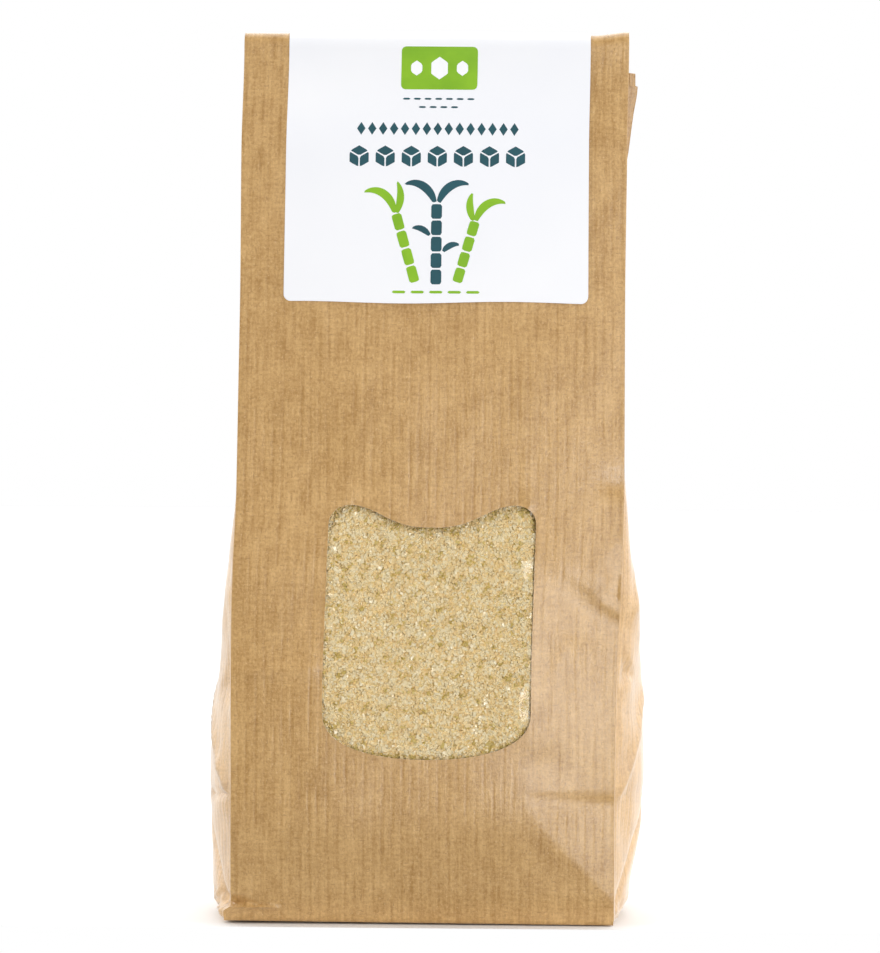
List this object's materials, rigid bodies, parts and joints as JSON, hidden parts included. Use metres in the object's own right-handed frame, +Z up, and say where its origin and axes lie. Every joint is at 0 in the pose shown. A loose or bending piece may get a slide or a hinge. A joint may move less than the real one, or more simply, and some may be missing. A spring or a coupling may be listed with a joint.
{
  "type": "bag of sugar",
  "caption": "Upright kraft paper bag of golden cane sugar with side gussets, a clear window in front and a paper label folded over its closed top.",
  "frame": {"origin": "middle of the base, on the floor the bag stands on", "axes": "+Z up, the front panel with the window faces -Y, +X to the right as seen from the front"},
  "size_m": [0.1132, 0.0692, 0.2319],
  "materials": {
    "kraft_paper": "matt ribbed brown kraft paper",
    "clear_film": "clear thin plastic film",
    "cane_sugar": "loose pale golden crystals",
    "label_paper": "smooth white coated paper"
  },
  "bodies": {
    "root": {"paper_bag": "kraft_paper", "window_film": "clear_film", "sugar": "cane_sugar", "label": "label_paper"}
  },
  "joints": []
}
